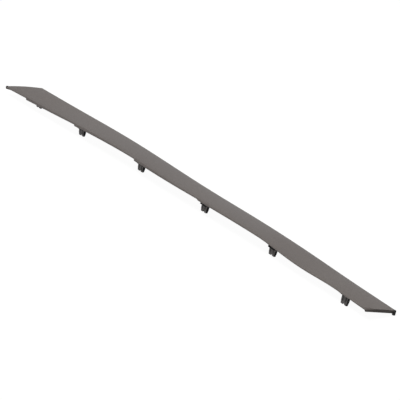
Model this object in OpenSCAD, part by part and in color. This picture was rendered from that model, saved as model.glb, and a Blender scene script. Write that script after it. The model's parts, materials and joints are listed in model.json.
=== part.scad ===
// Body side moulding of a car: one injection-moulded strip with a hollow back,
// pointed ends and a gently waved face, held to the panel by six push-in clips,
// with a round stop set into each pointed tip.
// X runs along the strip and Y across it. The show face looks up, and the strip lies
// as it comes to rest: on two clip tips and on the stop at the right-hand end.

/* [Strip] */
// Length over the two pointed ends
strip_l = 1005; // [900:5:1150]
// Width of the show face
strip_w = 53; // [50:1:62]
// Thickness of the face
face_t = 2.5; // [2:0.1:3]
// Thickness of the flanges round the back
flange_t = 2.2; // [1.8:0.1:2.8]
// Rise of the face's middle over its edges
crown = 1.2; // [0.4:0.1:2]
// Radius between the face and the long flanges
edge_r = 1.6; // [1:0.1:2]
// Depth of the near flange below the edge of the face
near_drop = 2.2; // [1.8:0.1:3]
// Extra depth of the near flange behind each clip, which runs out towards the next one
skirt_drop = [3, 3, 3, 1.5, 0, 0]; // [0:0.1:4]
// Distance from the start of a skirt to the middle of its clip
skirt_lead = 9; // [7:0.5:12]
// Depth of the far flange below the edge of the face
far_drop = 5.4; // [4:0.1:7]

/* [Ends] */
// How far the left end is raked back from its tip
left_rake = 47; // [20:1:60]
// How far the right end is raked back from its tip
right_rake = 18; // [4:1:40]
// Depth of the end walls below the edge of the face
end_drop = 4.6; // [3.5:0.1:6]
// Diameter of the round stop at each acute tip
stop_d = 5.5; // [4.5:0.1:7]
// Depth of the left stop below the edge of the face
left_stop_drop = 4.5; // [4.4:0.1:6]
// Depth of the right stop below the edge of the face
right_stop_drop = 8.1; // [6:0.1:9]
// Distance from a stop to the spigot that holds its ear
ear_l = 7; // [6:0.5:9]
// Width of the ear
ear_w = 4.4; // [4:0.1:5]
// Thickness of the ear
ear_t = 1.5; // [1.2:0.1:1.8]
// Diameter of the spigot
spigot_d = 2.4; // [2:0.1:2.6]
// Clearance between a stop and the strip
stop_gap = 0.15; // [0.1:0.05:0.25]

/* [Waves] */
// How far the left end curves back from the middle of the strip
left_bow = 10; // [4:0.5:14]
// How far the right end curves back
right_bow = 6.8; // [3:0.1:10]
// Exponent of the curve that the ends follow
bow_power = 2.9; // [2:0.1:3.2]
// Turn of the left end about the strip's length, in degrees
left_turn = 12; // [0:0.5:14]
// Turn of the right end the other way, in degrees
right_turn = 1.8; // [0:0.1:5]
// Rise and fall of the long waves
wave_rise = 1; // [0:0.1:1.5]
// Distance from one crest of the waves to the next
wave_l = 384; // [300:2:450]
// Distance from the left tip to the first crest
crest_in = 334; // [250:2:400]
// Turn of the face behind each clip, in degrees
belly_turn = [0, 0, 1, 0, 4.5, 2]; // [0:0.1:6]
// Distance from a clip to the middle of its belly
belly_shift = 65; // [30:1:80]
// Half the length of a belly
belly_half = 100; // [70:1:115]

/* [Clips] */
// Distance from the left tip to the second clip
second_clip_in = 228; // [215:1:245]
// Distance from the first clip to the second
lead_gap = 150; // [120:1:158]
// Distance from the right tip to the last clip
last_clip_in = 73; // [60:1:95]
// Distance from the near edge to the middle of a clip
clip_in = 13; // [12:0.5:17]
// The same for the first clip, which sits further in
first_clip_in = 24; // [14:0.5:28]
// Depth of a clip's tip below the top of the face
clip_reach = 23; // [21:0.5:26]
// Width of a clip's tower along the strip
tower_w = 15; // [12:0.5:15.5]
// Depth of a clip's tower across the strip
tower_d = 5.4; // [5:0.2:8]
// Wall of the hollow tower
tower_wall = 1.1; // [0.8:0.1:1.3]
// Length of a clip's shoulder along the strip
shoulder_l = 19; // [17.5:0.5:21]
// Width of the shoulder across the strip
shoulder_w = 9; // [8.5:0.5:12]
// Height of each clip's shoulder, which is low on the last one
shoulder_t = [5, 5, 5, 5, 5, 2]; // [1.8:0.1:6]
// Diameter of a clip's neck
neck_d = 6; // [5:0.5:7]
// Diameter of the head that holds the clip in its seat
head_d = 11; // [9:0.5:11.5]
// Thickness of the head
head_t = 1.4; // [1:0.1:1.6]

/* [Clip seats] */
// Room for a clip's head between the face and the seat's outer wall
head_room = 2.4; // [2.3:0.1:4]
// Length of a seat along the strip
seat_l = 21; // [20:0.5:24]
// Width of a seat across the strip
seat_w = 15; // [14.5:0.5:18]
// Wall of a seat
seat_wall = 1.5; // [1.2:0.1:1.8]
// Clearance between a clip and its seat
seat_gap = 0.15; // [0.1:0.05:0.25]
// Clearance round the neck in its slot
slot_gap = 0.3; // [0.2:0.05:0.5]

/* [Ribs] */
// Thickness of the ribs on the back
rib_t = 1.4; // [1:0.1:2]
// Depth of the ribs below the back of the face
rib_drop = 2; // [1:0.1:2.5]
// Cross ribs in each bay between two clips
bay_ribs = 2; // [1:1:4]
// Distance from the far edge to the rib that runs the whole length
long_rib_in = 16; // [10:1:20]

/* [Hidden] */

clip_count = 6;
ring_gap = 10;
face_steps = 6;
wave_step = 1;
turn_power = 1.5;
turn_share = 0.9;
step_l = 1.2;
end_inset = 0.4;
stop_rise = 0.3;
stop_bevel = 0.7;
corner_cut = 4;
ear_turn = [12, 218];
seat_draft = 0.3;
tip_taper = 1;
notch_w = 3;
notch_h = 2;
slit_w = 0.8;
taper_d = 1.8;

half_l = strip_l / 2;
half_w = strip_w / 2;
edge_z = -crown;
seat_drop = face_t + head_room + seat_wall;
root_z = -(crown + face_t) / 2;
clip_y = [for (i = [0:clip_count - 1]) (i == 0 ? first_clip_in : clip_in) - half_w];
tip_d = tower_d - taper_d;
stop_x = half_l - stop_d / 2;
stop_y = half_w - stop_d / 2;
pivot_y = turn_share * half_w;
long_rib_y = half_w - long_rib_in;
second_x = second_clip_in - half_l;
clip_pitch = (strip_l - second_clip_in - last_clip_in) / (clip_count - 2);
clip_x = [for (i = [0:clip_count - 1]) i == 0 ? second_x - lead_gap : second_x + (i - 1) * clip_pitch];

// Waves of the strip: its height, its slope and its turn at a place along it
function bump(u) = abs(u) < 1 ? pow(cos(90 * u), 2) : 0;
function belly(x, i) = belly_turn[i] * bump((x - clip_x[i] - belly_shift) / belly_half);
function bellies(x, i = 0) = i == clip_count ? 0 : belly(x, i) + bellies(x, i + 1);
function turn(x) = (x < 0 ? left_turn : -right_turn) * pow(abs(x) / half_l, turn_power) + bellies(x);
function wave(x) = wave_rise * cos(360 * (x + half_l - crest_in) / wave_l);
function bow(x) = wave(x) - (x < 0 ? left_bow : right_bow) * pow(abs(x) / half_l, bow_power);
function slope(x) = atan((bow(x + wave_step) - bow(x - wave_step)) / (2 * wave_step));
function rolled(p, a) = [p.x, p.y * cos(a) - p.z * sin(a), p.y * sin(a) + p.z * cos(a)];
function tipped(p, a) = [p.x * cos(a) + p.z * sin(a), p.y, p.z * cos(a) - p.x * sin(a)];

// A point of the strip, and a point given in the strip's own frame at a place along it
function placed(x, y, z) = rolled([x, y - pivot_y, z], turn(x)) + [0, pivot_y, bow(x)];
function stood(x, p) = tipped(rolled(p - [0, pivot_y, 0], turn(x)), -slope(x)) + [x, pivot_y, bow(x)];

// The raked ends: where a line along the strip starts and stops at a place across it
function left_x(y) = -half_l + left_rake * (y + half_w) / strip_w;
function right_x(y) = half_l - right_rake * (half_w - y) / strip_w;
function face_z(y) = edge_z * pow(y / half_w, 2);

// Section of the strip, from the foot of the near flange over the face and back inside
function arc(y, from, to) =
    [for (a = [from:30 * sign(to - from):to]) [y + edge_r * cos(a), face_z(y) - edge_r + edge_r * sin(a)]];
function across(from, to, steps, drop) =
    [for (i = [0:steps]) let (y = from + (to - from) * i / steps) [y, face_z(y) - drop]];
section = concat(
    [[-half_w, edge_z - near_drop]],
    arc(edge_r - half_w, 180, 120),
    across(edge_r - half_w, half_w - edge_r, face_steps, 0),
    arc(half_w - edge_r, 60, 0),
    [[half_w, edge_z - far_drop], [half_w - flange_t, edge_z - far_drop]],
    across(half_w - flange_t, flange_t - half_w, face_steps, face_t),
    [[flange_t - half_w, edge_z - near_drop]]
);
count = len(section);

// Places along the near edge where the section is drawn: evenly between the starts of the
// skirts, and close together there
skirt_x = [for (x = clip_x) x - skirt_lead];
bay_from = concat([left_x(-half_w)], skirt_x);
bay_to = concat([for (x = skirt_x) x - step_l], [right_x(-half_w)]);
stations = [
    for (i = [0:clip_count])
        let (n = ceil((bay_to[i] - bay_from[i]) / ring_gap))
            for (k = [0:n]) bay_from[i] + (bay_to[i] - bay_from[i]) * k / n
];
rings = len(stations) - 1;
function skirt_in(x, i) =
    x < skirt_x[i] ? 0 : max(0, skirt_drop[i] * (skirt_x[i] + clip_pitch - x) / clip_pitch);
function skirt(x, i = 0) = i == clip_count ? 0 : max(skirt_in(x, i), skirt(x, i + 1));
function shift_x(x, y) =
    left_x(y) + (right_x(y) - left_x(y)) * (x - left_x(-half_w)) / (right_x(-half_w) - left_x(-half_w));
skin = [
    for (s = stations) for (j = [0:count - 1])
        let (p = section[j], foot = j == 0 || j == count - 1 ? skirt(s) : 0)
            placed(shift_x(s, p.x), p.x, p.y - foot)
];

// Places of the cross ribs, and where the long rib between them starts and stops
rib_x = [
    for (i = [0:clip_count - 2]) for (k = [1:bay_ribs])
        clip_x[i] + (clip_x[i + 1] - clip_x[i]) * k / (bay_ribs + 1)
];
wall_in = end_inset + flange_t / 2;
long_rib_x = concat([left_x(long_rib_y) + wall_in], rib_x, [right_x(long_rib_y) - wall_in]);

// The strip lies on the tips of the first and the last clip and on the right-hand stop
function tip_corner(i, side) =
    stood(clip_x[i], [side * (tower_w / 2 - tip_taper), clip_y[i] + tip_d / 2, -clip_reach]);
foot_r = stop_d / 2 - stop_bevel;
function stop_rim(a) = stood(stop_x, [foot_r * cos(a), stop_y + foot_r * sin(a), edge_z - right_stop_drop]);
rest_a = tip_corner(0, -1);
rest_b = tip_corner(clip_count - 1, 1);
rest_up = cross(rest_b - rest_a, stop_rim(90) - rest_a);
rest_roll = atan2(rest_up.y, rest_up.z);
rest_pitch = -atan2(rest_up.x, norm([rest_up.y, rest_up.z]));
function laid(p) = tipped(rolled(p, rest_roll), rest_pitch);
laid_skin = [for (p = skin) laid(p)];
laid_x = [for (p = laid_skin) p.x];
laid_y = [for (p = laid_skin) p.y];
laid_z = concat([for (a = [0:15:345]) laid(stop_rim(a)).z], [laid(rest_a).z, laid(rest_b).z]);
rest_shift = [-(min(laid_x) + max(laid_x)) / 2, -(min(laid_y) + max(laid_y)) / 2, -min(laid_z)];

module at_rest() {
    translate(rest_shift)
        rotate([rest_roll, rest_pitch, 0])
            children();
}

// The strip's own frame at a place along it
module at_station(x) {
    translate([x, pivot_y, bow(x)])
        rotate([turn(x), -slope(x), 0])
            translate([0, -pivot_y, 0])
                children();
}

// A web with a four-sided plan, from a foot under each corner up into the face
module web(plan, feet) {
    low = [for (i = [0:3]) placed(plan[i].x, plan[i].y, feet[i])];
    high = [for (p = plan) placed(p.x, p.y, root_z)];
    hull()
        polyhedron(
            concat(low, high),
            [[0, 1, 2, 3], [7, 6, 5, 4], [0, 4, 5, 1], [1, 5, 6, 2], [2, 6, 7, 3], [3, 7, 4, 0]]
        );
}

module shell() {
    sides = [
        for (k = [0:rings - 1]) for (j = [0:count - 1])
            let (a = k * count + j, b = k * count + (j + 1) % count)
                each [[a, b, b + count], [a, b + count, a + count]]
    ];
    polyhedron(
        skin,
        concat([[for (j = [count - 1:-1:0]) j]], sides, [[for (j = [0:count - 1]) rings * count + j]])
    );
}

// End walls close the hollow back at both raked ends, a little inside the edge of the face
module end_wall(side) {
    rake = side < 0 ? left_rake : right_rake;
    reach = flange_t / cos(atan(rake / strip_w));
    near = flange_t / 2 - half_w;
    far = half_w - flange_t / 2;
    near_x = (side < 0 ? left_x(near) : right_x(near)) - side * end_inset;
    far_x = (side < 0 ? left_x(far) : right_x(far)) - side * end_inset;
    web(
        [[near_x, near], [far_x, far], [far_x - side * reach, far], [near_x - side * reach, near]],
        [for (i = [0:3]) edge_z - end_drop]
    );
}

module cross_rib(x) {
    near = flange_t / 2 - half_w;
    far = half_w - flange_t / 2;
    shallow = edge_z - near_drop + end_inset;
    deep = edge_z - face_t - rib_drop;
    web(
        [[x - rib_t / 2, near], [x + rib_t / 2, near], [x + rib_t / 2, far], [x - rib_t / 2, far]],
        [shallow, shallow, deep, deep]
    );
}

// The long rib, from one cross rib to the next and on into the end walls
module long_rib(from, to) {
    near = long_rib_y - rib_t / 2;
    far = long_rib_y + rib_t / 2;
    web(
        [[from, near], [to, near], [to, far], [from, far]],
        [for (i = [0:3]) edge_z - face_t - rib_drop / 2]
    );
}

// The place of a stop, and the place of its spigot seen from there
module at_stop(side) {
    at_station(side * stop_x)
        translate([0, side * stop_y, edge_z])
            children();
}

module at_spigot(side) {
    rotate(ear_turn[side < 0 ? 0 : 1])
        translate([ear_l, 0, 0])
            children();
}

module ear_plan(side, grow) {
    rotate(ear_turn[side < 0 ? 0 : 1]) {
        translate([0, -ear_w / 2 - grow])
            square([ear_l, ear_w + 2 * grow]);
        translate([ear_l, 0])
            circle(d = ear_w + 2 * grow, $fn = 32);
    }
}

// Room for a stop in the tip and for its ear behind the face
module stop_pocket(side) {
    deep = 2 * right_stop_drop;
    at_stop(side) {
        hull()
            for (out = [0, side * corner_cut])
                translate([out, out, -deep])
                    cylinder(d = stop_d + 2 * stop_gap, h = 2 * deep, $fn = 32);
        translate([0, 0, -deep - face_t])
            linear_extrude(deep)
                ear_plan(side, stop_gap);
    }
}

// Round stop with a bevelled rim, and the ear by which it hangs on its spigot
module stop(side, drop) {
    color("#26272a")
        at_rest()
            at_stop(side) {
                rotate_extrude($fn = 48)
                    polygon([
                        [0, -drop], [foot_r, -drop], [stop_d / 2, stop_bevel - drop],
                        [stop_d / 2, stop_rise - stop_bevel], [foot_r, stop_rise], [0, stop_rise]
                    ]);
                difference() {
                    translate([0, 0, -face_t - stop_gap - ear_t])
                        linear_extrude(ear_t)
                            ear_plan(side, 0);
                    translate([0, 0, -face_t - stop_gap - ear_t - 1])
                        at_spigot(side)
                            cylinder(d = spigot_d + 2 * stop_gap, h = ear_t + 2, $fn = 32);
                }
            }
}

// Seat that holds a clip: a small box on the back, open towards the far side,
// with a slot for the neck in its outer face
module clip_seat(y) {
    slot_d = neck_d + 2 * slot_gap;
    translate([0, y, -seat_drop])
        difference() {
            hull() {
                translate([-seat_l / 2, -seat_w / 2, 0])
                    cube([seat_l, seat_w, seat_wall]);
                translate([-seat_l / 2 - seat_draft, -seat_w / 2 - seat_draft, seat_drop + root_z - seat_wall])
                    cube([seat_l + 2 * seat_draft, seat_w + 2 * seat_draft, seat_wall]);
            }
            translate([seat_wall - seat_l / 2, seat_wall - seat_w / 2, seat_wall])
                cube([seat_l - 2 * seat_wall, seat_w, seat_drop]);
            translate([0, 0, -1])
                cylinder(d = slot_d, h = seat_wall + 2, $fn = 32);
            translate([-slot_d / 2, 0, -1])
                cube([slot_d, seat_w, seat_wall + 2]);
        }
}

module moulding() {
    color("#706c6a")
        at_rest() {
            difference() {
                union() {
                    shell();
                    end_wall(-1);
                    end_wall(1);
                }
                stop_pocket(-1);
                stop_pocket(1);
            }
            for (side = [-1, 1])
                at_stop(side)
                    at_spigot(side)
                        translate([0, 0, -face_t - ear_t - 2 * stop_gap])
                            cylinder(d = spigot_d, h = face_t / 2 + ear_t + 2 * stop_gap, $fn = 24);
            for (i = [0:clip_count - 1])
                at_station(clip_x[i]) clip_seat(clip_y[i]);
            for (x = rib_x)
                cross_rib(x);
            for (i = [1:len(long_rib_x) - 1])
                long_rib(long_rib_x[i - 1], long_rib_x[i]);
        }
}

// Hollow tower of a clip, tapered to its tip, with a notch there and a sprung finger
// between two slits in its near and far walls
module clip_tower(top) {
    height = clip_reach - top;
    waist = height * 0.45;
    half = tower_w / 2;
    finger_w = tower_w * 0.4;
    finger_h = height * 0.6;
    translate([0, 0, -clip_reach])
        difference() {
            intersection() {
                rotate([90, 0, 0])
                    linear_extrude(tower_d, center = true)
                        polygon([
                            [tip_taper - half, 0], [half - tip_taper, 0], [half, height], [-half, height]
                        ]);
                rotate([90, 0, 90])
                    linear_extrude(tower_w, center = true)
                        polygon([
                            [-tip_d / 2, 0], [tip_d / 2, 0], [tower_d / 2, waist],
                            [tower_d / 2, height], [-tower_d / 2, height], [-tower_d / 2, waist]
                        ]);
            }
            translate([tower_wall - half, tower_wall - tip_d / 2, -1])
                cube([tower_w - 2 * tower_wall, tip_d - 2 * tower_wall, height]);
            translate([-notch_w / 2, -tower_d, -1])
                cube([notch_w, 2 * tower_d, notch_h + 1]);
            for (side = [-1, 1])
                translate([(side * (finger_w + slit_w) - slit_w) / 2, -tower_d, height - finger_h - slit_w])
                    cube([slit_w, 2 * tower_d, finger_h]);
        }
}

module clip(i) {
    head_z = seat_wall + seat_gap - seat_drop;
    top_z = -seat_drop - seat_gap;
    height = shoulder_t[i - 1];
    color("#26272a")
        at_rest()
            at_station(clip_x[i - 1])
                translate([0, clip_y[i - 1], 0]) {
                    translate([0, 0, head_z])
                        cylinder(d = head_d, h = head_t, $fn = 48);
                    translate([0, 0, top_z - height / 2])
                        cylinder(d = neck_d, h = head_z - top_z + height / 2 + head_t / 2, $fn = 48);
                    translate([-shoulder_l / 2, -shoulder_w / 2, top_z - height])
                        cube([shoulder_l, shoulder_w, height]);
                    clip_tower(height - top_z);
                }
}

moulding();
clip(1);  // clip_1
clip(2);  // clip_2
clip(3);  // clip_3
clip(4);  // clip_4
clip(5);  // clip_5
clip(6);  // clip_6
stop(-1, left_stop_drop);  // stop_1
stop(1, right_stop_drop);  // stop_2
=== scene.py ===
import json
import math
import bpy
from mathutils import Matrix, Vector


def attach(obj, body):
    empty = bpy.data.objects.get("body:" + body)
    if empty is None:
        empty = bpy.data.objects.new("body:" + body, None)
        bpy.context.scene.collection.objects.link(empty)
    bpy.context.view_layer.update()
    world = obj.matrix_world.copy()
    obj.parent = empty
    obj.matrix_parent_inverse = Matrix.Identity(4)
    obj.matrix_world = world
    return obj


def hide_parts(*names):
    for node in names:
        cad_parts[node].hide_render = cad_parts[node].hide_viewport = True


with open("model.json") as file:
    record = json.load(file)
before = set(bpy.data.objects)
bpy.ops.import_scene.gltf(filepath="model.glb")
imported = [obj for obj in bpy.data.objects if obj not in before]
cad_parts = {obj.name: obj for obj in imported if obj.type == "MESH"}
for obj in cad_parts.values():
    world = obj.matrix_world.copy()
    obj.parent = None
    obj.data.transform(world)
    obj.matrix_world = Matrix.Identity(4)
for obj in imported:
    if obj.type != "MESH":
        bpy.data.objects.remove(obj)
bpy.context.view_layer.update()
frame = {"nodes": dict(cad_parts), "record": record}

clipNames = sorted(name for name in frame["nodes"] if name.startswith("clip_"))
stopNames = sorted(name for name in frame["nodes"] if name.startswith("stop_"))
mmPerMetre = 1000
white = (1, 1, 1, 1)


def linearColour(hexText):  # sRGB hex to linear, with alpha
    parts = [int(hexText[i:i + 2], 16) / 255 for i in (1, 3, 5)]
    return (*[p / 12.92 if p <= 0.04045 else ((p + 0.055) / 1.055) ** 2.4 for p in parts], 1.0)


def addNode(tree, kind, links=None, settings=None, **fields):  # both go by socket name or number
    node = tree.nodes.new(kind)
    for field, value in fields.items():
        setattr(node, field, value)
    for socket, value in (settings or {}).items():
        node.inputs[socket].default_value = value
    for socket, source in (links or {}).items():
        tree.links.new(source, node.inputs[socket])
    return node


def newTree(name):
    material = bpy.data.materials.new(name)
    material.use_nodes = True
    material.node_tree.nodes.clear()
    return material, material.node_tree


def deselectAll():
    if bpy.context.object and bpy.context.object.mode != "OBJECT":
        bpy.ops.object.mode_set(mode="OBJECT")
    bpy.ops.object.select_all(action="DESELECT")


def makeActive(piece):
    deselectAll()
    piece.select_set(True)
    bpy.context.view_layer.objects.active = piece


print("camera")
photoView = {
    "azimuth": 51.145,  # degrees, from the front towards the right
    "elevation": 30.0,
    "distance": 3.4852,  # metres
    "scale": 0.58151,  # pixels a millimetre at the target
    "centre": (-0.00232, 0.0026, 0),  # metres; the next two lead from here to the target
    "right": 0.02791,
    "up": -0.0099,
    "picture": 400,  # pixels across
    "sensor": 36.0,  # millimetres
    "farthest": 50,  # metres
}
azimuth = math.radians(photoView["azimuth"])
elevation = math.radians(photoView["elevation"])
toCamera = Vector((math.sin(azimuth) * math.cos(elevation), -math.cos(azimuth) * math.cos(elevation),
                   math.sin(elevation)))
rightWay = Vector((math.cos(azimuth), math.sin(azimuth), 0))
upWay = toCamera.cross(rightWay)
target = Vector(photoView["centre"]) + rightWay * photoView["right"] + upWay * photoView["up"]
lens = bpy.data.cameras.new("photoView")
lens.sensor_width = photoView["sensor"]
pixelsPerMetre = photoView["scale"] * mmPerMetre
lens.lens = pixelsPerMetre * photoView["distance"] * photoView["sensor"] / photoView["picture"]
lens.clip_end = photoView["farthest"]
camera = bpy.data.objects.new("photoView", lens)
bpy.context.scene.collection.objects.link(camera)
axes = Matrix((rightWay, upWay, toCamera)).transposed().to_4x4()
camera.matrix_world = Matrix.Translation(target + toCamera * photoView["distance"]) @ axes
bpy.context.scene.camera = camera

print("studio")
studio = {
    "floorSize": 12.0,  # metres
    "floorBounce": "#6a6a6a",  # what the floor throws back on the object
    "floorShade": 0.10,  # how much of the shadow the camera sees
    "floorGlow": 0.955,  # brings the floor that the camera sees up to white
    "worldLevel": 0.115,  # even light from all round
}
lamps = {  # place and size in metres, power in watts
    "key": {"place": (0.15, -0.9, 2.7), "size": 0.7, "power": 43},
    "fill": {"place": (-0.9, -2.6, 0.9), "size": 1.6, "power": 12},
    "back": {"place": (-0.4, 2.4, 1.7), "size": 1.6, "power": 9},
}


def larger(tree, first, second):
    return addNode(tree, "ShaderNodeMath", {0: first, 1: second}, operation="MAXIMUM").outputs[0]


def seenDirectly(tree):  # one for rays from the camera, from gloss or through glass
    rays = addNode(tree, "ShaderNodeLightPath").outputs
    either = larger(tree, rays["Is Camera Ray"], rays["Is Glossy Ray"])
    return larger(tree, either, rays["Is Transmission Ray"])


def makeFloor():
    deselectAll()
    bpy.ops.mesh.primitive_plane_add(size=studio["floorSize"], location=(0, 0, 0))
    floor = bpy.context.object
    floor.name = "studioFloor"
    material, tree = newTree("paperWhiteSeamlessFloor")
    bounce = addNode(tree, "ShaderNodeBsdfDiffuse", settings={"Color": linearColour(studio["floorBounce"])})
    shade = addNode(tree, "ShaderNodeBsdfDiffuse", settings={"Color": (*[studio["floorShade"]] * 3, 1)})
    glow = addNode(tree, "ShaderNodeEmission", settings={"Color": white, "Strength": studio["floorGlow"]})
    paper = addNode(tree, "ShaderNodeAddShader", {0: shade.outputs[0], 1: glow.outputs[0]})
    mix = addNode(tree, "ShaderNodeMixShader",
                  {0: seenDirectly(tree), 1: bounce.outputs[0], 2: paper.outputs[0]})
    addNode(tree, "ShaderNodeOutputMaterial", {"Surface": mix.outputs[0]})
    floor.data.materials.append(material)


def makeWorld():
    world = bpy.data.worlds.new("studioWorld")
    world.use_nodes = True
    tree = world.node_tree
    tree.nodes.clear()
    dim = addNode(tree, "ShaderNodeBackground", settings={"Color": white, "Strength": studio["worldLevel"]})
    paper = addNode(tree, "ShaderNodeBackground", settings={"Color": white, "Strength": 1.0})
    mix = addNode(tree, "ShaderNodeMixShader",
                  {0: seenDirectly(tree), 1: dim.outputs[0], 2: paper.outputs[0]})
    addNode(tree, "ShaderNodeOutputWorld", {"Surface": mix.outputs[0]})
    bpy.context.scene.world = world


def makeLamp(name, place, size, power):
    lamp = bpy.data.lights.new(name, "AREA")
    lamp.shape = "SQUARE"
    lamp.size = size
    lamp.energy = power
    holder = bpy.data.objects.new(name, lamp)
    bpy.context.scene.collection.objects.link(holder)
    holder.location = place
    holder.rotation_euler = (-Vector(place)).to_track_quat("-Z", "Y").to_euler()


makeFloor()
makeWorld()
for lampName, lamp in lamps.items():
    makeLamp(lampName + "Light", lamp["place"], lamp["size"], lamp["power"])
bpy.context.scene.view_settings.view_transform = "Standard"

print("materials")
plastic = {  # what all five have in common
    "ior": 1.5,
    "cloudDetail": 3,
    "cloudRoughness": 0.55,
    "grainDetail": 2,
    "grainRoughness": 0.6,
    "toneFrom": 0.8,  # cloud and grain added up: deep up to here, pale from toneTo
    "toneTo": 1.2,
    "edgeSamples": 6,
    "edgeFrom": 0.98,  # the cosine of the normal's turn at which the rubbed colour starts
    "edgeFull": 0.80,
    "edgeMost": 0.7,  # how much of it there is at most
    "roughFrom": 0.3,  # the clouds' values for the lowest and the highest roughness
    "roughTo": 0.7,
    "bumpStrength": 0.6,
}
stripFinish = {
    "pale": "#766f6b",
    "deep": "#68615e",
    "rubbed": "#7b7571",  # where hands and packing have polished the edges
    "roughness": (0.44, 0.58),  # lowest and highest, following the clouds
    "specular": 0.35,
    "grainMm": 1.6,  # the spark-eroded grain is near 0.2 mm, drawn coarser so that it shows
    "cloudMm": 90,  # slow change of tone along the flow of the plastic
    "stretch": 0.3,  # below 1 the clouds are drawn out along the strip
    "edgeMm": 0.5,  # how far from an edge it is rubbed
    "bumpMm": 0.12,  # the grain's height
}
backFinish = {
    "pale": "#716c69",
    "deep": "#66615f",
    "rubbed": "#7a7572",
    "roughness": (0.30, 0.44),
    "specular": 0.4,
    "grainMm": 4,  # milling marks of the tool's core, left unpolished where nobody looks
    "cloudMm": 40,
    "stretch": 0.15,
    "edgeMm": 0.4,
    "bumpMm": 0.06,
}
clipFinish = {
    "pale": "#767270",
    "deep": "#646160",
    "rubbed": "#7f7b79",
    "roughness": (0.40, 0.58),
    "specular": 0.3,
    "grainMm": 1.2,
    "cloudMm": 14,
    "stretch": 1.0,
    "edgeMm": 0.3,
    "bumpMm": 0.05,
}
# painted shade for the clips' flanks and shoulder ends, drawn on the same nylon: near black and matt
paintedShadeFinish = {
    "pale": "#161515",
    "deep": "#0e0e0e",
    "rubbed": "#222121",
    "roughness": (0.70, 0.85),
    "specular": 0.2,
    "grainMm": 1.0,
    "cloudMm": 6,
    "stretch": 1.0,
    "edgeMm": 0.3,
    "bumpMm": 0.15,
}
stopFinish = {
    "pale": "#2b2a2a",
    "deep": "#212020",
    "rubbed": "#3c3a3a",
    "roughness": (0.55, 0.72),
    "specular": 0.25,
    "grainMm": 0.9,
    "cloudMm": 5,
    "stretch": 1.0,
    "edgeMm": 0.3,
    "bumpMm": 0.05,
}


def mouldedPlastic(name, finish):
    material, tree = newTree(name)
    place = addNode(tree, "ShaderNodeTexCoord").outputs["Object"]
    drawn = addNode(tree, "ShaderNodeMapping", {"Vector": place}, {"Scale": (finish["stretch"], 1, 1)})
    cloud = addNode(tree, "ShaderNodeTexNoise", {"Vector": drawn.outputs[0]},
                    {"Scale": mmPerMetre / finish["cloudMm"], "Detail": plastic["cloudDetail"],
                     "Roughness": plastic["cloudRoughness"]})
    grain = addNode(tree, "ShaderNodeTexNoise", {"Vector": place},
                    {"Scale": mmPerMetre / finish["grainMm"], "Detail": plastic["grainDetail"],
                     "Roughness": plastic["grainRoughness"]})
    blend = addNode(tree, "ShaderNodeMath", {0: cloud.outputs["Fac"], 1: grain.outputs["Fac"]},
                    operation="ADD")
    tone = addNode(tree, "ShaderNodeMapRange", {"Value": blend.outputs[0]},
                   {"From Min": plastic["toneFrom"], "From Max": plastic["toneTo"]})
    body = addNode(tree, "ShaderNodeMix", {0: tone.outputs[0]},
                   {6: linearColour(finish["deep"]), 7: linearColour(finish["pale"])}, data_type="RGBA")
    # an edge is where the rounded normal leaves the flat one
    rounded = addNode(tree, "ShaderNodeBevel", settings={"Radius": finish["edgeMm"] / mmPerMetre},
                      samples=plastic["edgeSamples"])
    flat = addNode(tree, "ShaderNodeNewGeometry").outputs["Normal"]
    turn = addNode(tree, "ShaderNodeVectorMath", {0: rounded.outputs[0], 1: flat}, operation="DOT_PRODUCT")
    edge = addNode(tree, "ShaderNodeMapRange", {"Value": turn.outputs["Value"]},
                   {"From Min": plastic["edgeFrom"], "From Max": plastic["edgeFull"],
                    "To Max": plastic["edgeMost"]})
    colour = addNode(tree, "ShaderNodeMix", {0: edge.outputs[0], 6: body.outputs[2]},
                     {7: linearColour(finish["rubbed"])}, data_type="RGBA")
    low, high = finish["roughness"]
    rough = addNode(tree, "ShaderNodeMapRange", {"Value": cloud.outputs["Fac"]},
                    {"From Min": plastic["roughFrom"], "From Max": plastic["roughTo"],
                     "To Min": low, "To Max": high})
    bump = addNode(tree, "ShaderNodeBump", {"Height": grain.outputs["Fac"], "Normal": rounded.outputs[0]},
                   {"Strength": plastic["bumpStrength"], "Distance": finish["bumpMm"] / mmPerMetre})
    shader = addNode(tree, "ShaderNodeBsdfPrincipled",
                     {"Base Color": colour.outputs[2], "Roughness": rough.outputs[0],
                      "Normal": bump.outputs[0]},
                     {"IOR": plastic["ior"], "Specular IOR Level": finish["specular"]})
    addNode(tree, "ShaderNodeOutputMaterial", {"Surface": shader.outputs[0]})
    return material


# polypropylene, moulded in a grained tool: a dry satin grey, a little polished along its edges
grainedPolypropylene = mouldedPlastic("grainedPolypropyleneMoulding", stripFinish)
# the same plastic against the tool's plain core: smoother and a shade darker
plainPolypropylene = mouldedPlastic("plainPolypropyleneBack", backFinish)
# nylon, moulded: a plain grey that the strip's shade turns dark, with a soft shine on its flat sides
darkNylon = mouldedPlastic("darkNylonMoulding", clipFinish)
# painted shade: the clip's own nylon drawn near black and matt on the shoulder's ends and the clip's
# flanks, where shade falls under the strip
paintedShadeNylon = mouldedPlastic("paintedShadeNylonFlank", paintedShadeFinish)
# hard rubber, moulded: near black and soft-edged
blackRubber = mouldedPlastic("blackRubberMoulding", stopFinish)

secondPlastic = 1  # a piece's slots are counted from 0
merging = {
    "gap": 0.00002,  # metres, far below the smallest real detail
    "smoothAngle": 32,  # degrees, below which a fold is drawn round
}


def editAll(piece, operator, **values):  # one mesh operator, on all of the piece
    makeActive(piece)
    bpy.ops.object.mode_set(mode="EDIT")
    bpy.ops.mesh.select_all(action="SELECT")
    operator(**values)
    bpy.ops.mesh.select_all(action="DESELECT")
    bpy.ops.object.mode_set(mode="OBJECT")


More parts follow.
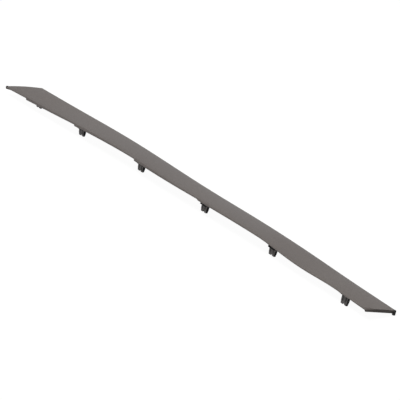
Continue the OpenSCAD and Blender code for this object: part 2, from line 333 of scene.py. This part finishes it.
def standIn(nodeName, pieceName, materials):  # a merged copy that stands for its node
    source = frame["nodes"][nodeName]
    piece = source.copy()
    piece.data = source.data.copy()
    piece.name = pieceName
    bpy.context.scene.collection.objects.link(piece)
    editAll(piece, bpy.ops.mesh.remove_doubles, threshold=merging["gap"])
    bpy.ops.object.shade_smooth_by_angle(angle=math.radians(merging["smoothAngle"]))
    piece.data.materials.clear()
    for material in materials:
        piece.data.materials.append(material)
    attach(piece, "root")
    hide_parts(nodeName)
    return piece


def paintFaces(piece, index, wanted):  # the faces for which wanted(face) holds get that material
    makeActive(piece)
    bpy.ops.object.mode_set(mode="EDIT")
    bpy.ops.mesh.select_mode(type="FACE")  # or a face between two wanted ones would come too
    bpy.ops.mesh.select_all(action="DESELECT")
    bpy.ops.object.mode_set(mode="OBJECT")
    for face in piece.data.polygons:
        face.select = wanted(face)
    bpy.ops.object.mode_set(mode="EDIT")
    piece.active_material_index = index
    bpy.ops.object.material_slot_assign()
    bpy.ops.mesh.select_all(action="DESELECT")
    bpy.ops.object.mode_set(mode="OBJECT")


def roundEdges(piece, edges):
    # flat faces are joined first, or the bevel would follow the lines between them
    editAll(piece, bpy.ops.mesh.dissolve_limited, angle_limit=math.radians(edges["flatWithin"]),
            delimit={"MATERIAL"})
    bevel = piece.modifiers.new("roundedEdges", "BEVEL")
    bevel.width = edges["round"]
    bevel.segments = edges["segments"]
    bevel.limit_method = "ANGLE"
    bevel.angle_limit = math.radians(edges["sharpAngle"])
    bevel.miter_outer = "MITER_ARC"
    bpy.ops.object.modifier_apply(modifier=bevel.name)
    bpy.ops.object.shade_smooth_by_angle(angle=math.radians(edges["sharpAngle"]))


def crispBack(piece, index, crispAngle):  # ribs, seats and walls meet the back in a clean line
    sides = {}
    for face in piece.data.polygons:
        for key in face.edge_keys:
            sides.setdefault(key, []).append(face)
    for edge in piece.data.edges:
        faces = sides.get(edge.key, [])
        if len(faces) != 2 or index not in (faces[0].material_index, faces[1].material_index):
            continue
        if faces[0].normal.angle(faces[1].normal, 0) > math.radians(crispAngle):
            edge.use_edge_sharp = True


print("strip")
stripBack = {
    "facesDown": -0.3,  # a face whose normal points down by more than this is on the back
    "crispAngle": 5,  # degrees
}
strip = standIn("moulding", "bodySideStrip", [grainedPolypropylene, plainPolypropylene])
paintFaces(strip, secondPlastic, lambda face: face.normal.z < stripBack["facesDown"])
crispBack(strip, secondPlastic, stripBack["crispAngle"])

print("clips")
clipEdges = {
    "round": 0.00022,  # metres, as the other lengths here
    "segments": 2,
    "sharpAngle": 35,  # degrees
    "flatWithin": 1,
    "shoulderHeight": 0.0051,  # above the shoulder's underside, where the panel seats
    "slack": 0.0001,  # so that the underside itself counts
    "paintedShadeFrom": 0.0012,  # the painted shade on the shoulder runs from this far off the clip's middle to its ends
    "flank": 0.7,  # a face that looks this far along the strip is a flank
}
seatPlanes = {mount["name"]: mount for mount in frame["record"]["mounts"]}


def makeClip(name):
    clip = standIn(name, name.replace("clip_", "panelClip"), [darkNylon, paintedShadeNylon])
    mount = seatPlanes[name.replace("clip_", "panel_seat_")]
    seat = Vector(mount["pos_m"])
    down = Vector(mount["axis"])
    along = (Vector((1, 0, 0)) - down * down.x).normalized()
    paintedShadeFrom = clipEdges["paintedShadeFrom"]
    tallShoulder = name != clipNames[-1]  # the last clip has a low one, with painted shade on its flanks alone
    for side in (-1, 1):  # cuts the shoulder's faces where the painted shade starts
        editAll(clip, bpy.ops.mesh.bisect, plane_co=seat + along * paintedShadeFrom * side, plane_no=along)

    # the faces that get the painted shade: every flank, and the ends of a tall shoulder
    def inPaintedShade(face):
        offset = face.center - seat
        onShoulder = -clipEdges["shoulderHeight"] < offset.dot(down) < clipEdges["slack"]
        atEnd = abs(offset.dot(along)) > paintedShadeFrom
        onFlank = abs(face.normal.dot(along)) > clipEdges["flank"]
        return onFlank or (tallShoulder and onShoulder and atEnd)

    # the painted shade goes on as the clip's second material
    paintFaces(clip, secondPlastic, inPaintedShade)
    roundEdges(clip, clipEdges)


for name in clipNames:
    makeClip(name)

print("stops")
stopEdges = {
    "round": 0.0003,  # metres
    "segments": 2,
    "sharpAngle": 30,  # degrees
    "flatWithin": 1,
}
for name in stopNames:
    stop = standIn(name, name.replace("stop_", "endStop"), [blackRubber])
    roundEdges(stop, stopEdges)
